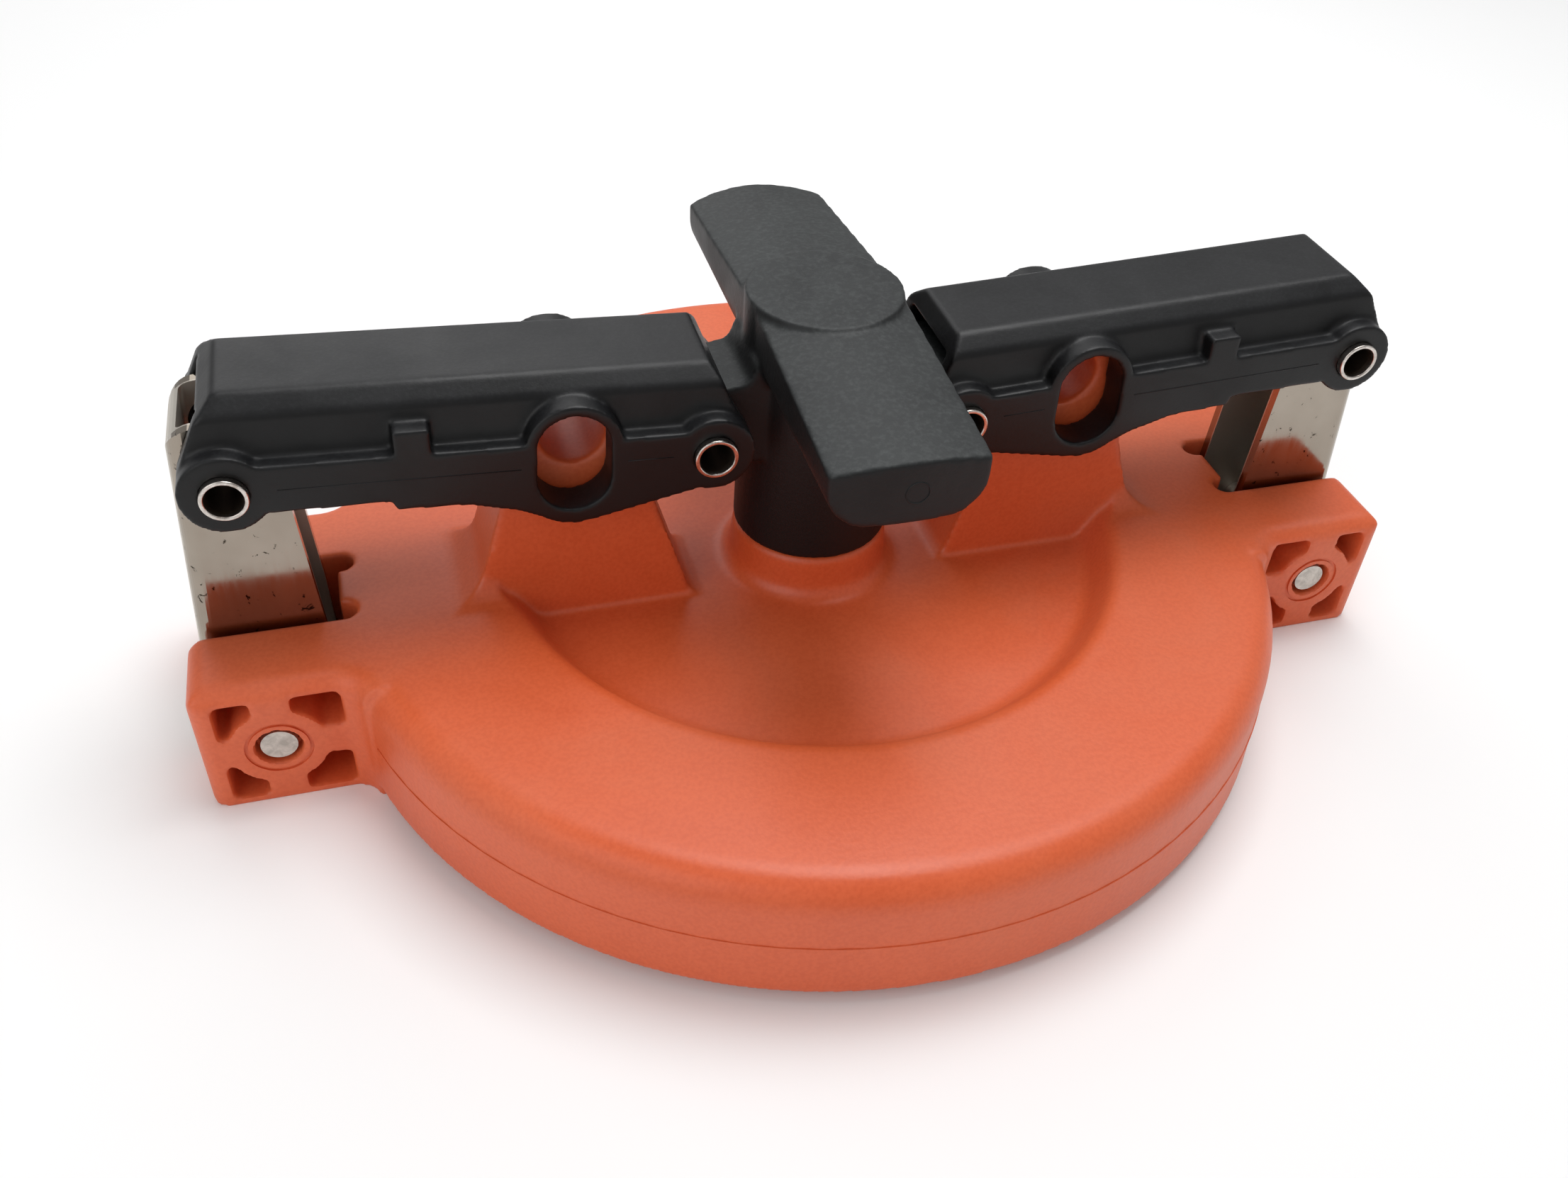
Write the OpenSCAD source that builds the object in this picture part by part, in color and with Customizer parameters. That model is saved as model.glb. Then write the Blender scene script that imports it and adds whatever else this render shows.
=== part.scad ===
// Vapor recovery cap: a moulded cap body, two sheet-metal latches and a T-handle
// that locks them over centre through two moulded links.
// X runs through both latches, Z is up, and z = 0 is the underside of the ears.

/* [Cap body] */
// Outside diameter of the skirt at its rim
cap_d = 139.7; // [134:0.1:145]
// Height from the rim of the skirt to the flat ring on top
cap_h = 18.4; // [17:0.1:22]
// How much smaller the skirt's radius is at the top than at the rim
skirt_draft = 0.75; // [0:0.05:1.5]
// Wall of the skirt
skirt_wall = 5; // [4.2:0.1:6]
// Wall of the top
top_wall = 4; // [3:0.1:5]
// Radius along the top edge of the skirt
edge_r = 4.5; // [2:0.1:6]
// Diameter of the dish where it meets the flat ring
dish_d = 91.5; // [88:0.5:92]
// Diameter of the dish's flat floor
dish_floor_d = 84.4; // [80:0.1:85]
// Depth of the dish below the flat ring
dish_depth = 5.1; // [4:0.1:6]
// Radius of the two bends in the dish's slope
dish_bend = 2.5; // [1:0.1:3]
// Diameter of the centre pad at the dish floor
pad_d = 23.8; // [23.4:0.1:27]
// Diameter of the centre pad's crown, under the handle
pad_top_d = 22.6; // [21.8:0.1:23]
// Height of the centre pad above the dish floor
pad_h = 6.8; // [6:0.1:9]
// Radius round the top of the centre pad
pad_round = 1.2; // [0.5:0.1:2]
// Radius where the pad runs out into the dish floor
pad_foot = 2.5; // [0.5:0.1:3]

/* [Ears] */
// Distance from the cap's axis to the outer end of an ear
ear_reach = 88.2; // [87:0.1:92]
// Width of an ear across its two cheeks
ear_w = 38; // [34:0.1:42]
// How far the ears reach below the rim of the skirt
foot_h = 1.8; // [0.5:0.1:3]
// Radius of the upright corners of an ear
ear_corner = 2.3; // [1:0.1:4]
// Radius of the hollow corner between an ear and the skirt
ear_fillet = 4; // [2:0.1:6]
// Radius along an ear's top edges
ear_edge_r = 3; // [1:0.1:4]
// Distance from an ear pin to the outer end of its ear
pin_inset = 10.1; // [9.2:0.1:11.2]
// Height of an ear pin above the ears' underside
pin_z = 9.6; // [9:0.1:10.5]
// Diameter of an ear pin
pin_d = 4.76; // [4:0.01:5.5]
// How far an ear pin's ends lie below the cheeks
pin_recess = 0.6; // [0.2:0.1:1.5]
// Width of the open mouth round an ear pin, from the pin outwards
mouth_gap = 0.67; // [0.4:0.01:1]
// Depth of that mouth
mouth_depth = 2.5; // [1:0.1:4]
// Radius of the shallow ring pressed round the mouth
ring_r = 4.4; // [4:0.1:5]
// Depth of the shallow ring
ring_depth = 0.3; // [0.1:0.1:0.6]
// Wall left round the four pockets of a cheek
pocket_wall = 3; // [2:0.1:4]
// Radius of the boss between the four pockets
boss_r = 6.45; // [6:0.05:7]
// Width of the ribs between the pockets
rib_w = 5; // [3:0.1:6]
// Depth of the pockets
pocket_depth = 8; // [2:0.5:9]

/* [Latch slot] */
// Distance from an ear pin to the slot's straight inner edge
slot_reach = 9.9; // [9.1:0.1:10.1]
// Gap on each side between a latch and its slot
slot_gap = 0.6; // [0.4:0.05:0.9]
// Radius of the two relief lobes at the slot's inner corners
lobe_r = 1.75; // [1.2:0.05:2]
// How far the lobes reach in beyond the straight edge
lobe_reach = 2.3; // [1.8:0.1:2.4]
// Height of the window for the latch's hook, above the rim
window_h = 7.4; // [6.5:0.1:8]

/* [Lugs] */
// Distance from the cap's axis to the middle of a lug
lug_x = 35.3; // [34:0.1:37]
// Height of the padlock hole above the ears' underside
eye_z = 44.7; // [43.5:0.1:45]
// Diameter of the padlock hole
eye_d = 8.8; // [7:0.1:9.2]
// Wall over the padlock hole
eye_wall = 2.4; // [2:0.1:2.5]
// Gap on each side between a lug, at its padlock hole, and its link
lug_gap = 1; // [0.5:0.1:1.7]
// How many degrees the two wide faces of a lug lean
lug_lean = 2; // [0:0.1:2.5]
// How many degrees the two narrow flanks of a lug lean
flank_lean = 16.5; // [10:0.5:19]
// Radius where the outer flank runs out into the flat ring
flank_fillet = 6; // [3:0.5:9]
// Radius where the inner flank runs out into the dish floor
inner_fillet = 2.2; // [0.5:0.1:4]
// Radius where the wide faces run out into the flat ring
face_fillet = 4; // [2:0.5:5]

/* [Gasket] */
// Gap between the gasket and the inside of the skirt
gasket_gap = 4.85; // [3:0.05:6.5]
// Gap between the gasket and the underside of the dish
gasket_inset = 0.55; // [0.5:0.05:3]
// Thickness of the gasket
gasket_t = 3.5; // [2.5:0.1:5]
// Radius along the gasket's edges
gasket_round = 0.6; // [0.2:0.1:1]

/* [Handle] */
// Height of the handle's top above the ears' underside
handle_top = 59.2; // [58:0.1:61]
// Diameter of the post at its foot
post_d = 22.6; // [22.2:0.1:23]
// Diameter of the post at the top, where it shows as a disc
hub_d = 21.3; // [20.8:0.1:22]
// Width of the T-bar
bar_w = 20.5; // [19:0.1:20.8]
// Length of the T-bar in the middle, end to end
bar_l = 75; // [70:0.1:78]
// How much further the T-bar reaches behind the post than in front
bar_shift = 2; // [0:0.1:3]
// How much the T-bar's front end is bowed
front_bow = 0.8; // [0.4:0.1:2]
// How much the T-bar's back end is bowed
back_bow = 3; // [1:0.1:4]
// Radius of the T-bar's upright corners
bar_corner = 3.5; // [2:0.1:4.5]
// Height of the T-bar's underside above the ears' underside
bar_under = 47.4; // [46:0.1:48]
// Radius along the T-bar's lower edges
bar_keel_r = 5.4; // [2:0.1:6]
// How many degrees each half of the T-bar slopes down from the hub
bar_slope = 5.2; // [4:0.1:8]
// How much the T-bar's top bulges between its long edges
bar_crown = 1.25; // [0.5:0.05:2]
// Diameter of the moulding core up the inside of the post
core_d = 13; // [8:0.5:14]
// Depth of that core
core_h = 20; // [8:0.5:22]
// Half the distance between the two inner pivots
inner_x = 17.55; // [17.3:0.05:17.8]
// Height of the inner pivots above the ears' underside
inner_z = 42.9; // [42.5:0.1:43.5]
// Gap on each side between a tang, which carries an inner pivot, and its link
tang_gap = 0.4; // [0.3:0.05:1.2]
// Radius of a tang round its pivot
tang_r = 6.1; // [5.5:0.1:6.5]

/* [Links] */
// How far an outer pivot lies inwards of the ear pin below it
pivot_shift = 0.15; // [-0.2:0.05:0.5]
// Height of the outer pivots above the ears' underside
outer_z = 45.8; // [45.2:0.1:46.2]
// Width of the channel inside a link
channel_w = 13.4; // [13.2:0.1:14]
// Height of the channel's ceiling above the line of pivots
channel_top = 8.5; // [8.2:0.1:8.8]
// Wall over the channel
link_top_wall = 2.6; // [2:0.1:3.5]
// Width of a link across its raised band and bosses
link_w = 23.8; // [22.6:0.1:25]
// Width of a link above the band
link_waist = 19.2; // [18.4:0.1:20.5]
// Width of the flat on top of a link
link_flat = 12.6; // [11:0.1:14]
// Height of the band's upper lip above the line of pivots
band_top = 3.7; // [3:0.1:4.5]
// Radius of the bosses round the pivots
link_boss_r = 5.4; // [5:0.1:6]
// How far the padlock slot lies outwards of the padlock hole
slot_shift = 0.65; // [-0.25:0.05:1.25]
// Width of the padlock slot
eye_slot_w = 9.5; // [8:0.1:10]
// Depth of the padlock slot's foot below the line of pivots
eye_slot_low = 6.7; // [5.5:0.1:7]
// Height of the padlock slot
eye_slot_h = 14.2; // [12:0.1:14.6]
// Wall of the collar round the padlock slot
collar_wall = 1.5; // [1.2:0.05:2]
// Wall under the padlock slot
slot_floor = 2.25; // [1.8:0.05:2.5]
// Distance along a link from the padlock slot to the upright tab
tab_offset = 17.6; // [14:0.1:20]
// Width of the upright tab on the band
tab_w = 4.5; // [3:0.1:6]
// Height of the tab's top above the line of pivots
tab_top = 7.2; // [5:0.1:8]

/* [Rivets] */
// Outside diameter of the hollow rivets
rivet_d = 5.4; // [5:0.01:6.2]
// Wall of the hollow rivets
rivet_wall = 0.5; // [0.4:0.05:0.7]
// Diameter of the rivets' rolled lips
lip_d = 5.8; // [5.5:0.1:6.6]
// How far the rivets stand out of the bosses
rivet_stand = 1; // [0.3:0.1:1.5]
// Running clearance round each pin and rivet, on the radius
run_gap = 0.05; // [0.02:0.01:0.08]

/* [Latches] */
// Thickness of the latches' sheet
sheet_t = 1.5; // [1.2:0.1:1.8]
// Gap on each side between a latch and its link
latch_gap = 0.4; // [0.3:0.05:0.7]
// Radius of a latch round its outer pivot
latch_lobe_r = 6.3; // [6.2:0.1:6.8]
// Radius of the folds between the web and the cheeks
fold_r = 2.2; // [1.8:0.1:3]
// How many degrees the web leans outwards from top to bottom
web_lean = 4.8; // [3:0.1:6]
// Radius of a latch's upper outer corner, seen from the front
latch_corner = 4; // [3:0.1:6]
// How far a rivet can shift sideways in the latch
shift_x = 1.75; // [1.7:0.05:1.8]
// How far a rivet can shift up or down in the latch
shift_z = 1.15; // [1.1:0.05:1.2]
// Distance from an ear pin in to the tip of its latch's hook
hook_reach = 16.6; // [15.6:0.1:17.1]
// Height of a hook's gripping face above the ears' underside
hook_z = 5.2; // [4.8:0.1:5.6]
// Thickness of a hook at its tip
hook_t = 1.4; // [1.2:0.1:1.8]

/* [Colours] */
// Moulded cap body
body_colour = "#cf5a38";
// Moulded handle and links
handle_colour = "#2b2b2d";
// Stainless latches
latch_colour = "#a9a59d";
// Pins and rivets
pin_colour = "#c9c9c6";
// Rubber gasket
gasket_colour = "#1d1d1e";

/* [Hidden] */
$fn = 96;

// Cutters run this far past the faces that they open
past = 1;
rim_z = foot_h;
ring_z = rim_z + cap_h;
cap_r = cap_d / 2;
cap_top_r = cap_r - skirt_draft;
inside_r = cap_r - skirt_wall;
dish_z = ring_z - dish_depth;
pad_z = dish_z + pad_h;
// The dish's slope lies this much further out on the underside, which keeps its wall
slope_shift = 0.3 * top_wall;
lug_t = channel_w - 2 * lug_gap;
tang_t = channel_w - 2 * tang_gap;
latch_w = channel_w - 2 * latch_gap;
slot_w = latch_w + 2 * slot_gap;
cheek_y = ear_w / 2;
pin_x = ear_reach - pin_inset;
slot_x = pin_x - slot_reach;
outer_x = pin_x - pivot_shift;
hook_x = pin_x - hook_reach;
slot_u = lug_x - inner_x + slot_shift;
link_l = norm([outer_x - inner_x, outer_z - inner_z]);
link_tilt = atan2(outer_z - inner_z, outer_x - inner_x);
link_top = channel_top + link_top_wall;
rivet_r = rivet_d / 2;
web_x = outer_x + latch_lobe_r + 0.2;
// Length of a latch's folded cheeks before its side outline cuts them
fold_l = web_x - hook_x + outer_z * tan(web_lean) + 2 * past;
rivet_bore_r = rivet_r + run_gap;

// One corner of an outline as an arc of radius r, or as a sharp point when r is 0
function rounded_corner(a, p, b, r) =
    r == 0 ? [p] :
    let (u = (a - p) / norm(a - p))
    let (v = (b - p) / norm(b - p))
    let (half = acos(u * v) / 2)
    let (c = p + (u + v) / norm(u + v) * r / sin(half))
    let (start = p + u * r / tan(half) - c)
    let (stop = p + v * r / tan(half) - c)
    let (from = atan2(start[1], start[0]))
    let (sweep = (atan2(stop[1], stop[0]) - from + 540) % 360 - 180)
    let (steps = max(2, ceil(abs(sweep) / 12)))
    [for (i = [0 : steps]) c + r * [cos(from + sweep * i / steps), sin(from + sweep * i / steps)]];

// An outline from corners of the form [x, y, radius]
function outline(corners) =
    let (n = len(corners))
    let (at = [for (k = corners) [k[0], k[1]]])
    [for (i = [0 : n - 1])
        each rounded_corner(at[(i + n - 1) % n], at[i], at[(i + 1) % n], corners[i][2])];

// The child once on each side of the cap, at +X and at -X
module both_sides() {
    children();
    mirror([1, 0, 0]) children();
}

// The child once in front and once behind
module front_and_back() {
    children();
    mirror([0, 1, 0]) children();
}

// An outline drawn in X and Z, made solid along Y and centred on y = 0
module along_y(width) {
    rotate([90, 0, 0]) linear_extrude(width, center = true) children();
}

// A round bar along Y, centred on y = 0
module round_y(r, length) {
    rotate([90, 0, 0]) cylinder(r = r, h = length, center = true);
}

// The shell's outside, solid: skirt, flat ring, dish and centre pad
module shell() {
    rotate_extrude() {
        polygon(outline([
            [0, rim_z, 0],
            [cap_r, rim_z, 0.5],
            [cap_top_r, ring_z, edge_r],
            [dish_d / 2, ring_z, dish_bend],
            [dish_floor_d / 2, dish_z, dish_bend],
            [pad_d / 2, dish_z, pad_foot],
            [pad_top_d / 2, pad_z, pad_round],
            [0, pad_z, 0]
        ]));
    }
}

// The shell's hollow, open below; its ceiling follows the dish
module hollow() {
    rotate_extrude() {
        polygon(outline([
            [0, -past, 0],
            [inside_r, -past, 0],
            [inside_r, ring_z - top_wall, 1],
            [dish_d / 2 + slope_shift, ring_z - top_wall, 0],
            [dish_floor_d / 2 + slope_shift, dish_z - top_wall, dish_bend],
            [0, dish_z - top_wall, 0]
        ]));
    }
}

// Plan of one ear, with the hollow corners that lead it into the skirt
module ear_plan() {
    blend_y = cheek_y + ear_fillet;
    blend_r = cap_r + ear_fillet;
    blend_x = sqrt(blend_r * blend_r - blend_y * blend_y);
    touch = [blend_x, blend_y] * cap_r / blend_r;
    root_x = inside_r - 2;
    polygon(outline([
        [root_x, -cheek_y, 0],
        [ear_reach, -cheek_y, ear_corner],
        [ear_reach, cheek_y, ear_corner],
        [root_x, cheek_y, 0]
    ]));
    difference() {
        polygon([[root_x, -blend_y], [blend_x, -blend_y], [blend_x, blend_y], [root_x, blend_y]]);
        for (side = [-1, 1]) {
            translate([blend_x, side * blend_y]) circle(ear_fillet);
            polygon([
                [touch[0], side * touch[1]],
                [blend_x, side * blend_y],
                [root_x - past, side * blend_y],
                [root_x - past, side * touch[1]]
            ]);
        }
    }
}

// Cutter that leaves a rounded edge of radius r along +X, on the corner at y = z = 0
module edge_cutter(r, length) {
    rotate([90, 0, 90]) {
        linear_extrude(length) {
            difference() {
                translate([-r, -r]) square(r + past);
                translate([-r, -r]) circle(r);
            }
        }
    }
}

// The rounded top edges of one ear
module ear_edge_cutters() {
    blend_y = cheek_y + ear_fillet;
    blend_r = cap_r + ear_fillet;
    blend_x = sqrt(blend_r * blend_r - blend_y * blend_y);
    front_and_back() {
        translate([blend_x, cheek_y, ring_z]) edge_cutter(ear_edge_r, ear_reach - blend_x + past);
        translate([blend_x, blend_y, ring_z]) {
            rotate_extrude() {
                difference() {
                    translate([ear_fillet - past, -ear_edge_r]) square(ear_edge_r + past);
                    translate([ear_fillet + ear_edge_r, -ear_edge_r]) circle(ear_edge_r);
                }
            }
        }
    }
    translate([ear_reach, cheek_y + past, ring_z]) {
        rotate([0, 0, -90]) edge_cutter(ear_edge_r, ear_w + 2 * past);
    }
}

// Four pockets round the pin's boss, on one cheek
module cheek_pockets() {
    left = cap_top_r + 0.1;
    right = ear_reach - pocket_wall;
    low = 1;
    high = ring_z - pocket_wall + 0.6;
    translate([0, cheek_y - pocket_depth, 0]) {
        rotate([90, 0, 0]) mirror([0, 0, 1]) {
            linear_extrude(pocket_depth + past) {
                difference() {
                    translate([left, low]) square([right - left, high - low]);
                    translate([pin_x, pin_z]) circle(boss_r);
                    translate([pin_x - rib_w / 2, 0]) square([rib_w, ring_z]);
                    translate([left - past, pin_z - rib_w / 2]) square([right - left + 2 * past, rib_w]);
                }
            }
        }
    }
}

// Bore of the ear pin with its mouth and ring
module pin_bore() {
    translate([pin_x, 0, pin_z]) {
        round_y(pin_d / 2 + run_gap, ear_w + 2 * past);
        front_and_back() {
            translate([0, cheek_y, 0]) {
                round_y(pin_d / 2 + mouth_gap, 2 * mouth_depth);
                difference() {
                    round_y(ring_r, 2 * ring_depth);
                    round_y(ring_r - 0.5, 3 * ring_depth);
                }
            }
        }
    }
}

// Slot for the latch, its relief lobes, and the window for the hook
module latch_slot() {
    lobe_x = slot_x - lobe_reach + lobe_r;
    window_x = min(slot_x, inside_r) - 2 * past;
    translate([slot_x, -slot_w / 2, -past]) cube([ear_reach - slot_x + past, slot_w, ring_z + 2 * past]);
    front_and_back() {
        translate([lobe_x, slot_w / 2 - lobe_r, ring_z - top_wall - 3]) {
            cylinder(r = lobe_r, h = top_wall + 3 + past);
            translate([0, -lobe_r, 0]) cube([slot_x - lobe_x + past, 2 * lobe_r, top_wall + 3 + past]);
        }
    }
    translate([window_x, -slot_w / 2, -past]) {
        cube([slot_x - window_x + past, slot_w, rim_z + window_h + past]);
    }
}

// Outline of a lug seen from the front, upright on the padlock hole's centre line
module lug_front() {
    top_r = eye_d / 2 + eye_wall;
    drop = eye_z - dish_z;
    ring_drop = eye_z - ring_z;
    waist = top_r / cos(flank_lean);
    inner = waist + drop * tan(flank_lean);
    outer = waist + ring_drop * tan(flank_lean);
    foot = drop + top_wall;
    translate([lug_x, eye_z]) {
        circle(top_r);
        polygon(outline([
            [-waist + top_r * sin(flank_lean) * tan(flank_lean), top_r * sin(flank_lean), 0],
            [-inner, -drop, inner_fillet],
            [-inner - inner_fillet, -drop, 0],
            [-inner - inner_fillet, -foot, 0],
            [outer + flank_fillet, -foot, 0],
            [outer + flank_fillet, -ring_drop, 0],
            [outer, -ring_drop, flank_fillet],
            [waist - top_r * sin(flank_lean) * tan(flank_lean), top_r * sin(flank_lean), 0]
        ]));
    }
}

// Outline of a lug seen from the end, spread at its foot on the flat ring
module lug_end() {
    top = eye_z + eye_d / 2 + eye_wall + past;
    half = lug_t / 2;
    at_top = half - (top - eye_z) * tan(lug_lean);
    at_ring = half + (eye_z - ring_z) * tan(lug_lean);
    at_foot = at_ring + face_fillet;
    polygon(outline([
        [-at_top, top, 0],
        [-at_ring, ring_z, face_fillet],
        [-at_foot, ring_z, 0],
        [-at_foot, dish_z - top_wall, 0],
        [at_foot, dish_z - top_wall, 0],
        [at_foot, ring_z, 0],
        [at_ring, ring_z, face_fillet],
        [at_top, top, 0]
    ]));
}

// Straight outline of a lug from the end, for the part that stands in the dish
module lug_core() {
    top = eye_z + eye_d / 2 + eye_wall + past;
    low = dish_z - top_wall;
    at_top = lug_t / 2 - (top - eye_z) * tan(lug_lean);
    at_low = lug_t / 2 + (eye_z - low) * tan(lug_lean);
    polygon([[-at_top, top], [-at_low, low], [at_low, low], [at_top, top]]);
}

// The dish's space carried on upwards, which ends the lugs' spread feet at its slope
module dish_space() {
    run = (dish_d - dish_floor_d) / 2 / dish_depth;
    at_ring = dish_d / 2 + dish_bend / 4;
    low = ring_z - dish_z + top_wall + past;
    high = 2 * face_fillet;
    rotate_extrude() {
        polygon([
            [0, ring_z - low],
            [at_ring - low * run, ring_z - low],
            [at_ring + high * run, ring_z + high],
            [0, ring_z + high]
        ]);
    }
}

// One lug: the front and end outlines meet in mitred ridges
module lug() {
    length = ear_reach;
    difference() {
        intersection() {
            along_y(ear_w) lug_front();
            union() {
                rotate([90, 0, 90]) linear_extrude(length) lug_core();
                difference() {
                    rotate([90, 0, 90]) linear_extrude(length) lug_end();
                    dish_space();
                }
            }
        }
        translate([lug_x, 0, eye_z]) round_y(eye_d / 2, ear_w);
    }
}

// The moulded cap body
module cap_body() {
    color(body_colour) {
        difference() {
            union() {
                shell();
                both_sides() {
                    difference() {
                        linear_extrude(ring_z) ear_plan();
                        ear_edge_cutters();
                    }
                    lug();
                }
            }
            hollow();
            both_sides() {
                latch_slot();
                pin_bore();
                front_and_back() cheek_pockets();
            }
        }
    }
}

// Flat ring that seals on the adapter's rim
module gasket() {
    inner = dish_d / 2 + slope_shift + gasket_inset;
    outer = inside_r - gasket_gap;
    top = ring_z - top_wall;
    color(gasket_colour) {
        rotate_extrude() {
            polygon(outline([
                [inner, top - gasket_t, gasket_round],
                [outer, top - gasket_t, gasket_round],
                [outer, top, gasket_round],
                [inner, top, gasket_round]
            ]));
        }
    }
}

// One half of the T-bar, drawn behind the hub: a crowned top that slopes to a bowed end
module half_bar(reach, bow) {
    half = bar_w / 2;
    edge = handle_top - bar_crown;
    bow_r = (half * half + bow * bow) / (2 * bow);
    crown_r = (half * half + bar_crown * bar_crown) / (2 * bar_crown);
    intersection() {
        translate([0, hub_d / 4, edge]) {
            rotate([90 - bar_slope, 0, 0]) mirror([0, 0, 1]) {
                translate([0, 0, -hub_d]) linear_extrude(bar_l) {
                    intersection() {
                        translate([-half, -handle_top]) square([bar_w, 2 * handle_top]);
                        translate([0, bar_crown - crown_r]) circle(crown_r, $fn = 720);
                    }
                }
            }
        }
        along_y(2 * bar_l) {
            polygon(outline([
                [-half, bar_under, bar_keel_r],
                [half, bar_under, bar_keel_r],
                [half, handle_top, 0],
                [-half, handle_top, 0]
            ]));
        }
        linear_extrude(handle_top + past) {
            intersection() {
                translate([0, reach - bow_r]) circle(bow_r, $fn = 180);
                polygon(outline([
                    [-half, 0, 0],
                    [half, 0, 0],
                    [half, reach - bow + bar_corner / 2, bar_corner],
                    [0, reach + bar_corner, 0],
                    [-half, reach - bow + bar_corner / 2, bar_corner]
                ]));
            }
        }
    }
}

// Outline of the tang that carries the right inner pivot
module tang_outline() {
    polygon(outline([
        [0, inner_z - tang_r, 0],
        [inner_x, inner_z - tang_r, 0],
        [inner_x + tang_r, inner_z, 0],
        [inner_x + 1, inner_z + tang_r - 0.2, 0],
        [bar_w / 2 + 1.5, inner_z + tang_r + 0.5, 2],
        [bar_w / 2 + 0.4, bar_under + 5, 0],
        [0, bar_under + 5, 0]
    ]));
}

// The T-handle with its post and two tangs
module handle() {
    color(handle_colour) {
        difference() {
            union() {
                translate([0, 0, pad_z]) {
                    cylinder(d1 = post_d, d2 = hub_d, h = handle_top - pad_z);
                }
                half_bar((bar_l + bar_shift) / 2, back_bow);
                mirror([0, 1, 0]) half_bar((bar_l - bar_shift) / 2, front_bow);
                both_sides() {
                    along_y(tang_t) {
                        intersection() {
                            tang_outline();
                            union() {
                                translate([inner_x, inner_z]) circle(tang_r);
                                square([inner_x - 1, handle_top]);
                            }
                        }
                    }
                }
            }
            both_sides() translate([inner_x, 0, inner_z]) round_y(rivet_bore_r, 2 * tang_t);
            translate([0, 0, pad_z - past]) cylinder(d = core_d, h = core_h + past);
        }
    }
}

// Side outline of a link; the inner pivot is at the origin and the outer one at +X
module link_side() {
    boss = link_boss_r;
    bulge_r = eye_slot_w / 2 + slot_floor;
    bulge_y = eye_slot_w / 2 - eye_slot_low;
    step_u = slot_u + tab_offset + tab_w;
    circle(boss);
    translate([link_l, 0]) circle(boss);
    translate([slot_u, bulge_y]) circle(bulge_r);
    polygon(outline([
        [0.2, link_top, 0],
        [link_l - 0.2, link_top, 1.5],
        [link_l + 2.3, link_top - 2.6, 2],
        [link_l + boss - 0.2, 1.8, 0],
        [link_l, 1 - boss, 0],
        [link_l - 3.5, 2.3 - boss, 0],
        [step_u + 0.7, -3, 0],
        [step_u + 0.2, -4.3, 0],
        [slot_u + 13.6, -4.5, 3],
        [slot_u + 7, -6.2, 6],
        [slot_u + 3, bulge_y - bulge_r + 0.8, 0],
        [slot_u - 2, bulge_y - bulge_r + 0.2, 0],
        [1.5, 0.4 - boss, 0],
        [0.2 - boss, 1.8, 0],
        [-2.6, link_top - 5, 2],
        [-1.4, link_top - 2.2, 2]
    ]));
}

// The padlock slot's outline, grown by a margin
module eye_slot(margin) {
    r = eye_slot_w / 2;
    translate([slot_u, r - eye_slot_low]) circle(r + margin);
    translate([slot_u, eye_slot_h - eye_slot_low - r]) circle(r + margin);
    translate([slot_u - r - margin, r - eye_slot_low]) square([2 * (r + margin), eye_slot_h - 2 * r]);
}

// What stands out from a link's sides: band, bosses, collar and tab
module link_raised() {
    circle(link_boss_r);
    translate([link_l, 0]) circle(link_boss_r);
    eye_slot(collar_wall);
    translate([slot_u + tab_offset, 0]) square([tab_w, tab_top]);
    intersection() {
        link_side();
        translate([0, -link_l]) square([link_l, link_l + band_top]);
    }
}

// A link: a channel open below and at both ends, over tang, lug and latch
module link() {
    ends = link_l + 4 * link_boss_r;
    difference() {
        union() {
            intersection() {
                along_y(link_waist) link_side();
                translate([-ends / 2 + link_l / 2, 0, 0]) {
                    rotate([90, 0, 90]) linear_extrude(ends) {
                        polygon(outline([
                            [-link_waist / 2, -link_top, 0],
                            [link_waist / 2, -link_top, 0],
                            [link_waist / 2, band_top, 4],
                            [link_waist / 2 - 0.7, link_top - 2, 1.5],
                            [link_flat / 2, link_top, 1.5],
                            [-link_flat / 2, link_top, 1.5],
                            [0.7 - link_waist / 2, link_top - 2, 1.5],
                            [-link_waist / 2, band_top, 4]
                        ]));
                    }
                }
            }
            along_y(link_w) link_raised();
        }
        translate([-ends / 2 + link_l / 2, -channel_w / 2, -2 * link_top]) {
            cube([ends, channel_w, 2 * link_top + channel_top]);
        }
        along_y(link_w + 2 * past) eye_slot(0);
        for (u = [0, link_l]) translate([u, 0, 0]) round_y(rivet_bore_r, link_w + 2 * past);
    }
}

// The right link in its place
module placed_link() {
    translate([inner_x, 0, inner_z]) rotate([0, -link_tilt, 0]) link();
}

module link_right() {
    color(handle_colour) placed_link();
}

module link_left() {
    color(handle_colour) mirror([1, 0, 0]) placed_link();
}

// Side outline of the right latch: squared head, long arm and hook
module latch_side() {
    head = outer_z + latch_lobe_r;
    low = 1.1;
    translate([outer_x, outer_z]) circle(latch_lobe_r);
    polygon(outline([
        [outer_x - latch_lobe_r, outer_z, 0],
        [outer_x - latch_lobe_r - 0.4, outer_z - 8, 20],
        [pin_x - 8.1, pin_z + 8, 4],
        [pin_x - 8.3, hook_z + 3, 2],
        [hook_x + 3, hook_z, 0],
        [hook_x, hook_z, 0],
        [hook_x, hook_z - hook_t, 0.6],
        [pin_x - 8, pin_z - 7.5, 4],
        [pin_x, low, 0],
        [web_x + (outer_z - low) * tan(web_lean), low, 3],
        [web_x + (outer_z - head) * tan(web_lean), head, latch_corner],
        [outer_x, head, 0]
    ]));
}

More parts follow.
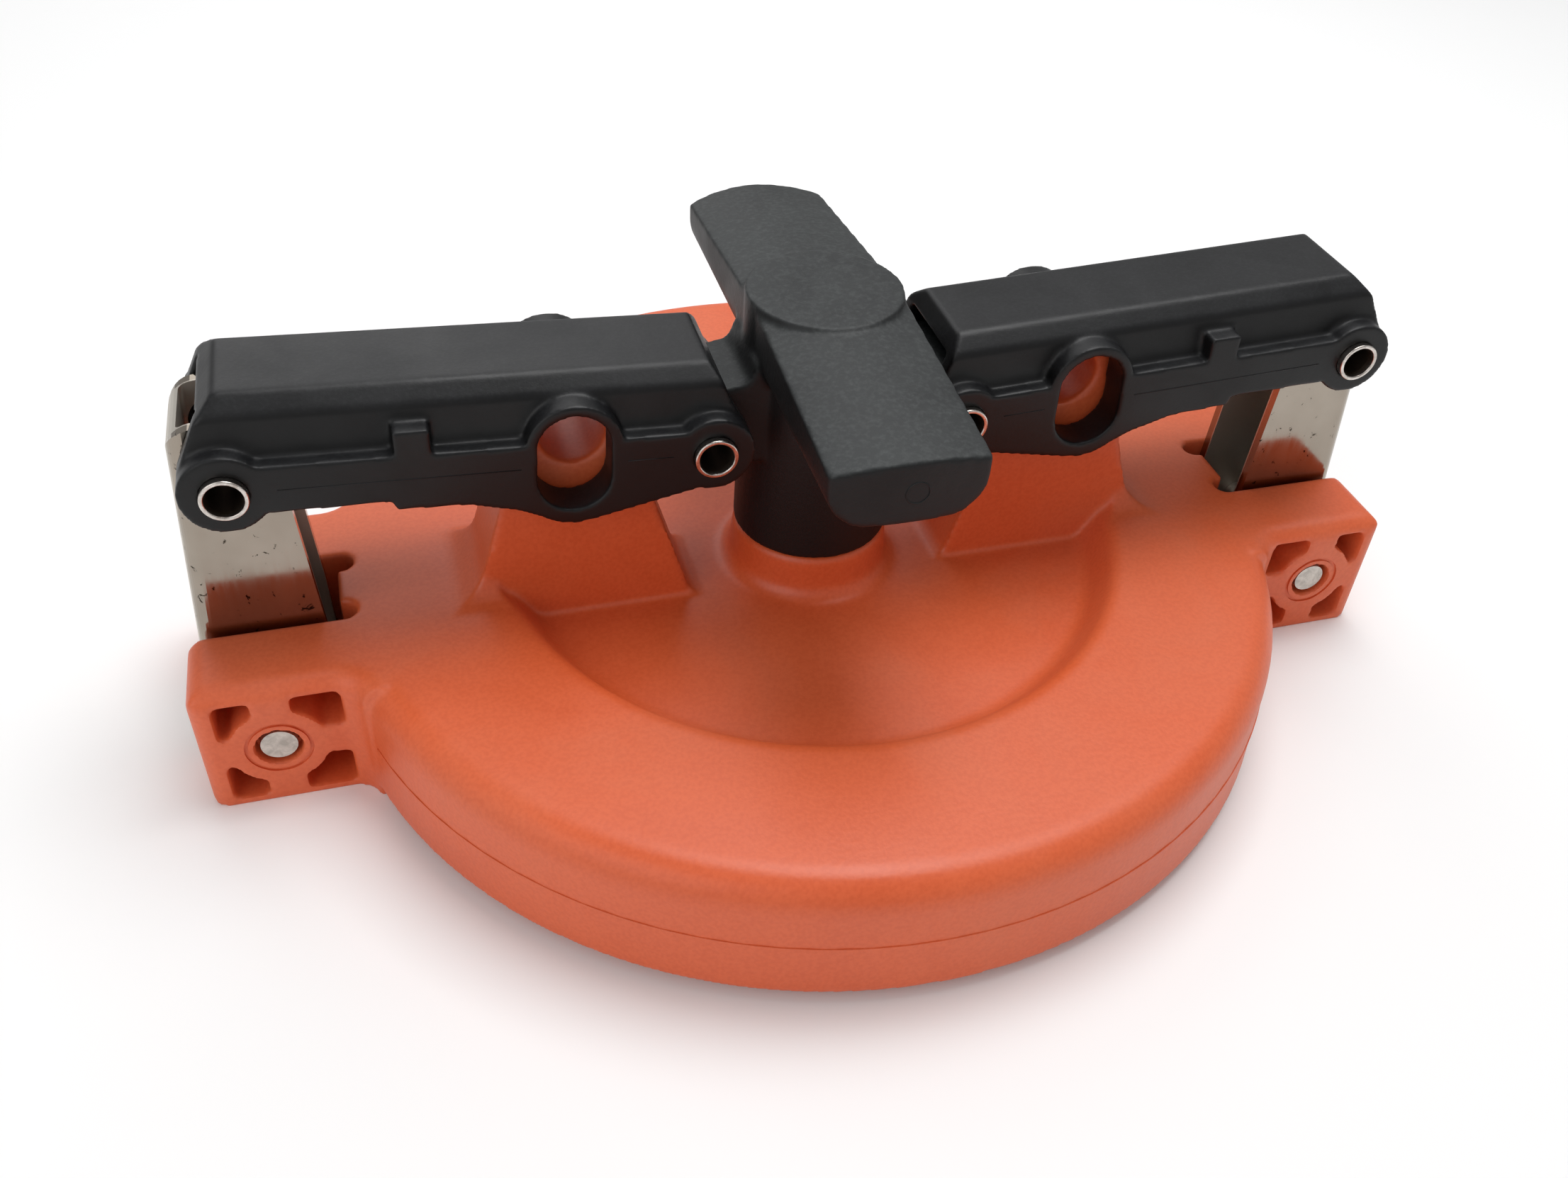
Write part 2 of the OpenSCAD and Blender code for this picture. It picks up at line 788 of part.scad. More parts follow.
// Plan of the folded channel: cheeks in front and behind, web on the outside
module latch_fold() {
    half = latch_w / 2;
    polygon(outline([
        [-fold_l, -half, 0],
        [0, -half, fold_r],
        [0, half, fold_r],
        [-fold_l, half, 0],
        [-fold_l, half - sheet_t, 0],
        [-sheet_t, half - sheet_t, fold_r - sheet_t],
        [-sheet_t, sheet_t - half, fold_r - sheet_t],
        [-fold_l, sheet_t - half, 0]
    ]));
}

// The right latch in its place
module placed_latch() {
    difference() {
        intersection() {
            along_y(latch_w + past) latch_side();
            translate([web_x, 0, outer_z]) {
                rotate([0, -web_lean, 0]) {
                    translate([0, 0, -2 * outer_z]) linear_extrude(3 * outer_z) latch_fold();
                }
            }
        }
        translate([pin_x, 0, pin_z]) round_y(pin_d / 2 + run_gap, 2 * latch_w);
        translate([outer_x, 0, outer_z]) along_y(2 * latch_w) rivet_play();
    }
}

// The opening that lets the outer rivet shift in the latch
module rivet_play() {
    r = rivet_r + shift_z;
    run = max(0, shift_x - shift_z);
    translate([-run, 0]) circle(r);
    translate([run, 0]) circle(r);
    translate([-run, -r]) square([2 * run, 2 * r]);
}

module latch_right() {
    color(latch_colour) placed_latch();
}

module latch_left() {
    color(latch_colour) mirror([1, 0, 0]) placed_latch();
}

// The pin through the right ear
module ear_pin() {
    length = ear_w - 2 * pin_recess;
    translate([pin_x, 0, pin_z]) round_y(pin_d / 2, length);
}

module ear_pin_right() {
    color(pin_colour) ear_pin();
}

module ear_pin_left() {
    color(pin_colour) mirror([1, 0, 0]) ear_pin();
}

// A hollow rivet along Y, with a small lip rolled at both ends
module rivet() {
    end = link_w / 2 + rivet_stand;
    neck = link_w / 2;
    bore = rivet_r - rivet_wall;
    lip_r = lip_d / 2;
    rotate([90, 0, 0]) {
        rotate_extrude() {
            polygon(outline([
                [bore, 0, 0],
                [bore, 1 - end, 0],
                [lip_r - rivet_wall - 0.05, -end, 0.2],
                [lip_r, -end, 0.2],
                [lip_r, -neck, 0],
                [rivet_r, -neck, 0],
                [rivet_r, neck, 0],
                [lip_r, neck, 0],
                [lip_r, end, 0.2],
                [lip_r - rivet_wall - 0.05, end, 0.2],
                [bore, end - 1, 0]
            ]));
        }
    }
}

module inner_rivet_right() {
    color(pin_colour) translate([inner_x, 0, inner_z]) rivet();
}

module inner_rivet_left() {
    color(pin_colour) translate([-inner_x, 0, inner_z]) rivet();
}

module outer_rivet_right() {
    color(pin_colour) translate([outer_x, 0, outer_z]) rivet();
}

module outer_rivet_left() {
    color(pin_colour) translate([-outer_x, 0, outer_z]) rivet();
}

cap_body();
gasket();
handle();
link_left();
link_right();
latch_left();
latch_right();
ear_pin_left();
ear_pin_right();
inner_rivet_left();
inner_rivet_right();
outer_rivet_left();
outer_rivet_right();
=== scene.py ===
# %% [markdown]
# A vapor recovery cap from a tank truck: an orange moulded cap, two stainless latches
# and a black T-handle that locks them through two black links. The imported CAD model
# gives every piece its true size and place, so this lesson starts by loading it. What
# is left for Blender is what makes a part look real: soft moulded edges, mould lines
# and the finish of each material.

# %% Load the frame
import math
import bpy
from mathutils import Matrix, Vector


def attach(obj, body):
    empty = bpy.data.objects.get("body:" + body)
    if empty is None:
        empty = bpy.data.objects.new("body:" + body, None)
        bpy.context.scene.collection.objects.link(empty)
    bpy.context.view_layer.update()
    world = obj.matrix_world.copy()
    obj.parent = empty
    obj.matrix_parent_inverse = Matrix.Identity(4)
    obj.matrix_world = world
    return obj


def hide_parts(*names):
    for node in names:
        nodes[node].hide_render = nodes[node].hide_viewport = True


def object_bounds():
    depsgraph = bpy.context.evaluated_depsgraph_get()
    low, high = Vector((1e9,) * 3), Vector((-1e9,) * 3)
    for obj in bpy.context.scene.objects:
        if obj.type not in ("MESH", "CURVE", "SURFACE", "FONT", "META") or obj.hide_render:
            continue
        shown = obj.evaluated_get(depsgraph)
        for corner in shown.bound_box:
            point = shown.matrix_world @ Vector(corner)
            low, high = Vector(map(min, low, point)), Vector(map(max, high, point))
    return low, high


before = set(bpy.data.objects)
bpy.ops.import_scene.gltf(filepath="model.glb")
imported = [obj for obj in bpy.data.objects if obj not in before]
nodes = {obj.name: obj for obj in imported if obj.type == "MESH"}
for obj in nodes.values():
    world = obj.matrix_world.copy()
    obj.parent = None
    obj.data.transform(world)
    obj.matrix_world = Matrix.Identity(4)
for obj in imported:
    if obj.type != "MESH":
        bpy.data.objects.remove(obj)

cad_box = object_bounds()

# %% [markdown]
# The scene is in metres and the drawing in millimetres, so one short factor keeps the
# numbers readable. Operators act on everything that is selected, and the loader leaves
# the nodes selected, so two small helpers clear the selection and pick one object.

# %% Units and selection
MM = 0.001


def deselect():
    """Nothing is selected or active afterwards."""
    if bpy.context.object and bpy.context.object.mode != "OBJECT":
        bpy.ops.object.mode_set(mode="OBJECT")
    bpy.ops.object.select_all(action="DESELECT")
    bpy.context.view_layer.objects.active = None


def pick(obj):
    """Only this object is selected and active."""
    deselect()
    obj.select_set(True)
    bpy.context.view_layer.objects.active = obj


deselect()
print("one millimetre is", MM, "of a scene unit")

# %% [markdown]
# Every finish is a small tree of shader nodes. The helpers below start a material and
# set its shader, and add the nodes that most finishes share: noise in object
# coordinates, a ramp that turns noise into colours, and a bump.

# %% Material helpers
NOISE_RANGE = (0.3, 0.7)


def new_material(name):
    """An empty node material with its shader and its tree."""
    made = bpy.data.materials.new(name)
    made.use_nodes = True
    tree = made.node_tree
    tree.nodes.clear()
    shader = tree.nodes.new("ShaderNodeBsdfPrincipled")
    output = tree.nodes.new("ShaderNodeOutputMaterial")
    tree.links.new(shader.outputs["BSDF"], output.inputs["Surface"])
    return made, tree, shader


def feed(tree, socket, given):
    """Links another node's output to a socket, or sets the socket to a number or colour."""
    if isinstance(given, bpy.types.NodeSocket):
        tree.links.new(given, socket)
    else:
        socket.default_value = given


def set_shader(tree, shader, inputs):
    """Feeds a shader's sockets by their names."""
    for name, given in inputs.items():
        feed(tree, shader.inputs[name], given)


def srgb(red, green, blue):
    """A colour as a picture editor shows it, turned into scene light."""
    def linear(value):
        value = value / 255
        return value / 12.92 if value <= 0.04045 else ((value + 0.055) / 1.055) ** 2.4
    return (linear(red), linear(green), linear(blue), 1)


def grey(level):
    """A grey of the given level, 0 for black and 1 for white."""
    return (level, level, level, 1)


def place(tree, stretch=(1, 1, 1)):
    """Object coordinates, stretched by a Mapping node."""
    source = tree.nodes.new("ShaderNodeTexCoord")
    mapping = tree.nodes.new("ShaderNodeMapping")
    mapping.inputs["Scale"].default_value = stretch
    tree.links.new(source.outputs["Object"], mapping.inputs["Vector"])
    return mapping.outputs["Vector"]


def split(tree, vector):
    """The X, Y and Z of a vector."""
    made = tree.nodes.new("ShaderNodeSeparateXYZ")
    tree.links.new(vector, made.inputs[0])
    return made.outputs[0], made.outputs[1], made.outputs[2]


def noise(tree, where, size, detail=3, rough=0.5, warp=0):
    """Noise whose blotches are about size metres across."""
    made = tree.nodes.new("ShaderNodeTexNoise")
    made.inputs["Scale"].default_value = 1 / size
    made.inputs["Detail"].default_value = detail
    made.inputs["Roughness"].default_value = rough
    made.inputs["Distortion"].default_value = warp
    tree.links.new(where, made.inputs["Vector"])
    return made.outputs["Fac"]


def ramp(tree, value, *stops):
    """A colour ramp; stops are (place, colour) pairs."""
    made = tree.nodes.new("ShaderNodeValToRGB")
    band = made.color_ramp
    while len(band.elements) < len(stops):
        band.elements.new(0.5)
    for element, (at, colour) in zip(band.elements, stops):
        element.position = at
        element.color = colour
    tree.links.new(value, made.inputs["Fac"])
    return made.outputs["Color"]


def mix(tree, factor, first, second, blend="MIX"):
    """Two colours mixed by a factor, all three given as sockets or values."""
    made = tree.nodes.new("ShaderNodeMix")
    made.data_type = "RGBA"
    made.blend_type = blend
    feed(tree, made.inputs[0], factor)
    feed(tree, made.inputs[6], first)
    feed(tree, made.inputs[7], second)
    return made.outputs[2]


def spread(tree, value, old_range, new_range):
    """A value carried from one range into another and held at its ends."""
    made = tree.nodes.new("ShaderNodeMapRange")
    names = ("From Min", "From Max", "To Min", "To Max")
    for name, number in zip(names, (*old_range, *new_range)):
        made.inputs[name].default_value = number
    tree.links.new(value, made.inputs["Value"])
    return made.outputs["Result"]


def step(tree, operation, first, second=0.0):
    """One Math node; both inputs are given as sockets or numbers."""
    made = tree.nodes.new("ShaderNodeMath")
    made.operation = operation
    feed(tree, made.inputs[0], first)
    feed(tree, made.inputs[1], second)
    return made.outputs[0]


def bump(tree, shader, height, depth, strength, below=None):
    """A bump of the given depth in metres; below is a bump that it lies on."""
    made = tree.nodes.new("ShaderNodeBump")
    made.inputs["Distance"].default_value = depth
    made.inputs["Strength"].default_value = strength
    tree.links.new(height, made.inputs["Height"])
    if below:
        tree.links.new(below, made.inputs["Normal"])
    tree.links.new(made.outputs["Normal"], shader.inputs["Normal"])
    return made.outputs["Normal"]


print("material helpers ready")

# %% [markdown]
# The cap is moulded acetal in safety orange. It isn't one flat colour: a paler, pinker
# film lies on it in wide soft patches, which are also a little duller, and the moulding
# left a very fine grain that breaks up the gloss.

# %% Orange plastic
DEEP_ORANGE, PLAIN_ORANGE, PINK_FILM = srgb(212, 89, 44), srgb(220, 97, 52), srgb(218, 107, 68)
GRAIN_DARK, GRAIN_LIGHT = srgb(205, 84, 42), srgb(226, 104, 60)


def orange_plastic():
    made, tree, shader = new_material("orange_acetal")
    where = place(tree)
    film = noise(tree, where, 34 * MM, detail=4, rough=0.6, warp=0.6)
    grain = noise(tree, where, 0.55 * MM, detail=2)
    base = ramp(tree, film, (0.30, DEEP_ORANGE), (0.52, PLAIN_ORANGE), (0.74, PINK_FILM))
    speck = ramp(tree, grain, (0.35, GRAIN_DARK), (0.62, GRAIN_LIGHT))
    set_shader(tree, shader, {
        "Base Color": mix(tree, 0.3, base, speck),
        "Roughness": spread(tree, film, NOISE_RANGE, (0.36, 0.5)),
        "Specular IOR Level": 0.5,
    })
    soft = bump(tree, shader, noise(tree, where, 6 * MM, detail=2), 0.06 * MM, 0.5)
    bump(tree, shader, grain, 0.03 * MM, 0.6, soft)
    return made


ORANGE = orange_plastic()
print("made", ORANGE.name)

# %% [markdown]
# Handle and links are the same black plastic, but the handle's top has a sand-blasted
# mould texture and is scuffed grey, while the links are smoother with a low gloss. Faces
# that look up get the lighter greys, and the sides and undersides a deeper black.

# %% Black plastic
def facing_up(tree):
    """0 on upright sides and undersides, 1 on faces that look up when the cap is at rest."""
    source = tree.nodes.new("ShaderNodeTexCoord")
    _, _, up = split(tree, source.outputs["Normal"])
    return spread(tree, up, (0.3, 0.9), (0, 1))


def black_plastic(name, side, low, high, roughness, grain_size, grain_depth):
    """The three colours are those of the sides and of a top's dark and light places."""
    made, tree, shader = new_material(name)
    where = place(tree)
    cloud = noise(tree, where, 14 * MM, detail=4, rough=0.6, warp=0.4)
    grain = noise(tree, where, grain_size, detail=2, rough=0.6)
    base = ramp(tree, cloud, (0.3, low), (0.75, high))
    dust = ramp(tree, grain, (0.45, low), (0.72, high))
    top = mix(tree, 0.45, base, dust)
    set_shader(tree, shader, {
        "Base Color": mix(tree, facing_up(tree), side, top),
        "Roughness": spread(tree, cloud, NOISE_RANGE, roughness),
        "Specular IOR Level": 0.33,
    })
    soft = bump(tree, shader, noise(tree, where, 5 * MM, detail=2), 0.08 * MM, 0.5)
    bump(tree, shader, grain, grain_depth, 0.7, soft)
    return made


BLACK_GRAINED = black_plastic("black_grained_plastic", side=srgb(14, 14, 15),
                              low=srgb(30, 32, 33), high=srgb(64, 67, 67),
                              roughness=(0.46, 0.6), grain_size=0.7 * MM,
                              grain_depth=0.06 * MM)
BLACK_SATIN = black_plastic("black_satin_plastic", side=srgb(8, 8, 9),
                            low=srgb(14, 14, 16), high=srgb(34, 35, 37),
                            roughness=(0.34, 0.5), grain_size=0.5 * MM,
                            grain_depth=0.02 * MM)
print("made", BLACK_GRAINED.name, "and", BLACK_SATIN.name)

# %% [markdown]
# The latches are folded from stainless sheet. Rolling leaves faint long streaks, and
# years on a truck leave small dark pits, so the finish is metal with a streaked
# roughness and a few sharp-edged specks. The cheeks' outsides are rubbed nearly to a
# mirror, so that they show the orange ear. The inside of the fold stays dull, and its
# lighter colour is painted light from above.

# %% Stainless sheet
SHEET_DARK, SHEET_LIGHT = srgb(146, 136, 124), srgb(166, 156, 144)
# The inside's colour is lighter than the outside's: painted light from above on the same
# steel.
SHEET_INSIDE_PAINTED_LIGHT, PIT_BROWN = srgb(214, 208, 198), srgb(92, 84, 76)
# Half widths of the channel, in millimetres, between which inside turns into outside.
FOLD_INSIDE, FOLD_OUTSIDE = 4.85, 5.1


def stainless_sheet():
    made, tree, shader = new_material("stainless_sheet")
    where = place(tree)
    streak = noise(tree, place(tree, (1, 1, 0.08)), 0.8 * MM, detail=2)
    pits = noise(tree, where, 1.5 * MM, rough=0.65, warp=0.5)
    cloud = noise(tree, where, 12 * MM)
    clean = ramp(tree, cloud, (0.3, SHEET_DARK), (0.7, SHEET_LIGHT))
    marked = ramp(tree, pits, (0.30, PIT_BROWN), (0.35, grey(1)))
    rubbed = mix(tree, 1, clean, marked, "MULTIPLY")
    _, sideways, _ = split(tree, where)
    outside = spread(tree, step(tree, "ABSOLUTE", sideways),
                     (FOLD_INSIDE * MM, FOLD_OUTSIDE * MM), (0, 1))
    polish = spread(tree, streak, NOISE_RANGE, (0.09, 0.17))
    set_shader(tree, shader, {
        # Inside the fold the base is the lighter steel, which is painted light from above.
        "Base Color": mix(tree, outside, SHEET_INSIDE_PAINTED_LIGHT, rubbed),
        "Roughness": mix(tree, outside, grey(0.5), polish),
        "Metallic": 1,
    })
    bump(tree, shader, streak, 0.01 * MM, 0.5)
    return made


STAINLESS = stainless_sheet()
print("made", STAINLESS.name)

# %% [markdown]
# The hollow rivets are bright on their rolled lips and dull and brown down the bore.
# How far a point lies from the rivet's own axis tells the two apart. The left rivets
# mirror the right ones, so the distance is taken from the absolute value of X. The ear
# pins were sawn off, which leaves an even dull metal.

# %% Rivets and pins
# The pivots' X and Z on the right-hand side, and the bore's and lip's radii, in millimetres.
INNER_PIVOT = (17.55, 42.9)
OUTER_PIVOT = (77.95, 45.8)
BORE_R, LIP_R = 2.24, 2.38
BORE_BROWN, LIP_DARK, LIP_LIGHT = srgb(112, 98, 86), srgb(178, 168, 160), srgb(222, 216, 210)
PIN_DARK, PIN_LIGHT = srgb(176, 172, 164), srgb(214, 210, 202)


def worn_metal(name):
    """A metal with fine worn blotches, which the caller gives colour and roughness."""
    made, tree, shader = new_material(name)
    where = place(tree)
    wear = noise(tree, where, 1.2 * MM, detail=4, rough=0.6, warp=0.5)
    set_shader(tree, shader, {"Metallic": 1})
    bump(tree, shader, wear, 0.02 * MM, 0.5)
    return made, tree, shader, where, wear


def pin_steel():
    made, tree, shader, _, wear = worn_metal("sawn_pin_steel")
    set_shader(tree, shader, {
        "Base Color": ramp(tree, wear, (0.35, PIN_DARK), (0.65, PIN_LIGHT)),
        "Roughness": spread(tree, wear, NOISE_RANGE, (0.4, 0.55)),
    })
    return made


def off_axis(tree, where, pivot):
    """How far a point lies from an axis along Y through the pivot's X and Z."""
    x, _, z = split(tree, where)
    across = step(tree, "SUBTRACT", step(tree, "ABSOLUTE", x), pivot[0] * MM)
    up = step(tree, "SUBTRACT", z, pivot[1] * MM)
    squares = [step(tree, "MULTIPLY", part, part) for part in (across, up)]
    return step(tree, "SQRT", step(tree, "ADD", *squares))


def rivet_steel(name, pivot):
    made, tree, shader, where, wear = worn_metal(name)
    distance = off_axis(tree, where, pivot)
    rim = (BORE_R * MM, LIP_R * MM)
    bright = ramp(tree, wear, (0.35, LIP_DARK), (0.65, LIP_LIGHT))
    set_shader(tree, shader, {
        "Base Color": mix(tree, spread(tree, distance, rim, (0, 1)), BORE_BROWN, bright),
        "Roughness": spread(tree, distance, rim, (0.42, 0.22)),
    })
    return made


INNER_RIVET = rivet_steel("inner_rivet_steel", INNER_PIVOT)
OUTER_RIVET = rivet_steel("outer_rivet_steel", OUTER_PIVOT)
PIN_STEEL = pin_steel()
print("made", INNER_RIVET.name, OUTER_RIVET.name, PIN_STEEL.name)

# %% [markdown]
# The gasket is a flat ring of black rubber, which shows only when the cap is turned
# over. Rubber is dull and a little dusty, so a high roughness and a fine grain do it.

# %% Rubber
RUBBER_DARK, RUBBER_DUSTY = srgb(24, 24, 25), srgb(38, 38, 39)


def black_rubber():
    made, tree, shader = new_material("gasket_rubber")
    where = place(tree)
    dust = noise(tree, where, 2 * MM)
    set_shader(tree, shader, {
        "Base Color": ramp(tree, dust, (0.3, RUBBER_DARK), (0.7, RUBBER_DUSTY)),
        "Roughness": 0.75,
    })
    bump(tree, shader, noise(tree, where, 0.4 * MM, detail=2), 0.02 * MM, 0.5)
    return made


RUBBER = black_rubber()
print("made", RUBBER.name)

# %% [markdown]
# A CAD node keeps its mesh and only gets its finish. Cap body, handle and links are
# shown by softer copies further on, but they are dressed here too, so none stays plain.

# %% Dress the CAD nodes
FINISHES = {
    "cap_body": ORANGE,
    "gasket": RUBBER,
    "handle": BLACK_GRAINED,
    "link_left": BLACK_SATIN,
    "link_right": BLACK_SATIN,
    "latch_left": STAINLESS,
    "latch_right": STAINLESS,
    "ear_pin_left": PIN_STEEL,
    "ear_pin_right": PIN_STEEL,
    "inner_rivet_left": INNER_RIVET,
    "inner_rivet_right": INNER_RIVET,
    "outer_rivet_left": OUTER_RIVET,
    "outer_rivet_right": OUTER_RIVET,
}


def dress(obj, finish):
    """One finish all over."""
    obj.data.materials.clear()
    obj.data.materials.append(finish)


for name, finish in FINISHES.items():
    dress(nodes[name], finish)
print("dressed", len(FINISHES), "nodes")

# %% [markdown]
# The drawing's edges are as sharp as a knife, and no moulding has such edges. One way
# to soften them is to bevel each edge, which goes wrong where many small faces meet.
# Here a copy of the solid is welded and rebuilt in small even faces, and a little
# smoothing then rounds every edge and every hollow corner at once, as a mould does.

# %% Soft mouldings
WELD = 0.001 * MM


def welded_copy(node, name):
    """A new object with a node's shape, its loose triangles merged."""
    made = bpy.data.objects.new(name, nodes[node].data.copy())
    bpy.context.scene.collection.objects.link(made)
    pick(made)
    bpy.ops.object.mode_set(mode="EDIT")
    bpy.ops.mesh.select_all(action="SELECT")
    bpy.ops.mesh.remove_doubles(threshold=WELD)
    bpy.ops.object.mode_set(mode="OBJECT")
    return made


def apply_modifier(obj, kind, **settings):
    """Adds one modifier, sets it and applies it."""
    pick(obj)
    added = obj.modifiers.new(kind.lower(), kind)
    for key, value in settings.items():
        setattr(added, key, value)
    bpy.ops.object.modifier_apply(modifier=added.name)


def count_triangles(obj):
    """How many triangles an object's faces make."""
    return sum(len(face.vertices) - 2 for face in obj.data.polygons)


def soft_moulding(node, name, finish, body, voxel, passes, keep):
    """A soft-edged copy that stands for a node; keep is the share of its faces that stay."""
    made = welded_copy(node, name)
    apply_modifier(made, "REMESH", mode="VOXEL", voxel_size=voxel, use_smooth_shade=True)
    apply_modifier(made, "SMOOTH", factor=0.5, iterations=passes)
    apply_modifier(made, "DECIMATE", ratio=keep)
    pick(made)
    bpy.ops.object.shade_smooth()
    dress(made, finish)
    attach(made, body)
    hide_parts(node)
    deselect()
    print(name, "has", count_triangles(made), "triangles")
    return made


soft_moulding("handle", "t_handle_moulding", BLACK_GRAINED, "t_handle",
              voxel=0.34 * MM, passes=9, keep=0.5)
for side in ("left", "right"):
    soft_moulding("link_" + side, "link_moulding_" + side, BLACK_SATIN,
                  side + "_link", voxel=0.32 * MM, passes=5, keep=0.45)
cap_moulding = soft_moulding("cap_body", "cap_body_moulding", ORANGE, "cap",
                             voxel=0.45 * MM, passes=3, keep=0.32)

# %% [markdown]
# Rebuilding in small faces also blurs the finest forms. Each ear pin lies in a narrow
# open mouth with a shallow ring pressed round it, so these are cut again here. The
# cutters are joined first, because one boolean is quicker than eight.

# %% Pin mouths
PIN_X, PIN_Z, CHEEK_Y = 78.1, 9.6, 19
MOUTH_R, MOUTH_DEPTH = 3.05, 2.5
RING_OUTER_R, RING_INNER_R, RING_DEPTH = 4.4, 3.9, 0.3
OVERSHOOT = 0.5
CREASE_ANGLE = 40
ON_ITS_SIDE = (math.pi / 2, 0, 0)


def cut(obj, cutter):
    """Takes one object's shape out of another and removes the cutter."""
    apply_modifier(obj, "BOOLEAN", operation="DIFFERENCE", object=cutter)
    bpy.data.objects.remove(cutter)


def join(objects):
    """Makes several objects one, which is the first of them."""
    deselect()
    for obj in objects:
        obj.select_set(True)
    bpy.context.view_layer.objects.active = objects[0]
    bpy.ops.object.join()
    return objects[0]


def sunk_disc(radius, depth, side, front):
    """A cylinder that reaches depth millimetres into one cheek and a little out of it."""
    middle_y = CHEEK_Y + OVERSHOOT / 2 - depth / 2
    deselect()
    bpy.ops.mesh.primitive_cylinder_add(
        vertices=64, radius=radius * MM, depth=(depth + OVERSHOOT) * MM,
        location=Vector((side * PIN_X, front * middle_y, PIN_Z)) * MM, rotation=ON_ITS_SIDE)
    return bpy.context.object


def pressed_ring(side, front):
    """A wide disc with a narrower one cut out of it."""
    ring = sunk_disc(RING_OUTER_R, RING_DEPTH, side, front)
    cut(ring, sunk_disc(RING_INNER_R, 2 * RING_DEPTH, side, front))
    return ring


corners = [(side, front) for side in (-1, 1) for front in (-1, 1)]
mouths = [sunk_disc(MOUTH_R, MOUTH_DEPTH, *corner) for corner in corners]
rings = [pressed_ring(*corner) for corner in corners]
cut(cap_moulding, join(mouths + rings))
pick(cap_moulding)
bpy.ops.object.shade_smooth_by_angle(angle=math.radians(CREASE_ANGLE))
deselect()
print("cut", len(corners), "mouths;", cap_moulding.name, "has",
      count_triangles(cap_moulding), "triangles")

# %% [markdown]
# Where two halves of a mould met there is a hair line: one runs round the skirt at half
# its height, and one runs along each flat side of the links. The handle's front end has
# the round mark of the pin that pushed it out of its mould.

# %% Mould lines
# All of these are in millimetres.
SKIRT_LINE_R, SKIRT_LINE_Z, SKIRT_LINE_THICK = 69.5, 10.45, 0.11
EAR_BLOCK = (200, 46, 4)
SEAM_R, SEAM_RISE, LINK_FLAT_Y = 0.07, 0.3, 11.9
SEAM_STRETCHES = ((5.6, 11.6), (25.2, 54.4))
MARK_R, MARK_THICK, MARK_AT = 1.5, 0.09, (0.7, -36.5, 51.9)


def finish_piece(obj, name, finish, body):
    """Applies an object's transform and gives it its name, finish and body."""
    pick(obj)
    bpy.ops.object.transform_apply(location=True, rotation=True, scale=True)
    bpy.ops.object.shade_smooth()
    obj.name = name
    obj.data.name = name
    dress(obj, finish)
    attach(obj, body)
    deselect()
    print(name, "has", count_triangles(obj), "triangles")


def skirt_line():
    """A thin ring round the skirt, cut away where the ears stand."""
    deselect()
    bpy.ops.mesh.primitive_torus_add(
        major_radius=SKIRT_LINE_R * MM, minor_radius=SKIRT_LINE_THICK * MM,
        major_segments=360, minor_segments=10, location=(0, 0, SKIRT_LINE_Z * MM))
    ring = bpy.context.object
    deselect()
    bpy.ops.mesh.primitive_cube_add(size=1, location=(0, 0, SKIRT_LINE_Z * MM),
                                    scale=[length * MM for length in EAR_BLOCK])
    cut(ring, bpy.context.object)
    finish_piece(ring, "skirt_mould_line", ORANGE, "cap")


def seam_rod(side, start, end, y):
    """A hair-thin rod along a link, between two distances from its inner pivot."""
    inner, outer = Vector(INNER_PIVOT), Vector(OUTER_PIVOT)
    along = (outer - inner).normalized()
    across = Vector((-along.y, along.x))
    middle = inner + along * (start + end) / 2 + across * SEAM_RISE
    deselect()
    bpy.ops.mesh.primitive_cylinder_add(vertices=10, radius=SEAM_R * MM,
                                        depth=(end - start) * MM)
    rod = bpy.context.object
    rod.location = Vector((side * middle.x, y, middle.y)) * MM
    direction = Vector((side * along.x, 0, along.y))
    rod.rotation_euler = direction.to_track_quat("Z", "Y").to_euler()
    return rod


def link_seam(name, side):
    """Four rods in one object: before and behind the slot's collar, on both flat sides."""
    rods = [seam_rod(side, start, end, y)
            for start, end in SEAM_STRETCHES for y in (-LINK_FLAT_Y, LINK_FLAT_Y)]
    finish_piece(join(rods), "link_seam_" + name, BLACK_SATIN, name + "_link")


def ejector_mark():
    """A fine ring on the front end of the T-bar."""
    deselect()
    bpy.ops.mesh.primitive_torus_add(
        major_radius=MARK_R * MM, minor_radius=MARK_THICK * MM, major_segments=64,
        minor_segments=10, location=Vector(MARK_AT) * MM, rotation=ON_ITS_SIDE)
    finish_piece(bpy.context.object, "handle_ejector_mark", BLACK_GRAINED,
                 "t_handle")


skirt_line()
link_seam("left", -1)
link_seam("right", 1)
ejector_mark()

# %% [markdown]
# The cap lies on a white table under soft light, and the page behind it is white too.
# A pale rough plane is enough for both, and it keeps the cap's shadow. A key lamp from
# above gives the shadow, and a fill and a back lamp lift the sides.

# %% Table and light
TABLE_SIZE = 6
SKY_STRENGTH = 0.42
# Place and aim in millimetres, size in millimetres, power in watts.
LAMPS = (
    ("key_lamp", (150, 120, 650), (0, 0, 20), 420, 2.9),
    ("fill_lamp", (-450, -350, 350), (0, 0, 20), 500, 0.95),
    ("back_lamp", (-80, 620, 480), (0, 0, 30), 500, 0.9),
)


def table_material():
    made, tree, shader = new_material("white_table")
    cloud = noise(tree, place(tree), 300 * MM, detail=2)
    set_shader(tree, shader, {
        "Base Color": ramp(tree, cloud, (0, grey(0.93)), (1, grey(0.96))),
        "Roughness": 0.6,
        "Specular IOR Level": 0.2,
    })
    return made


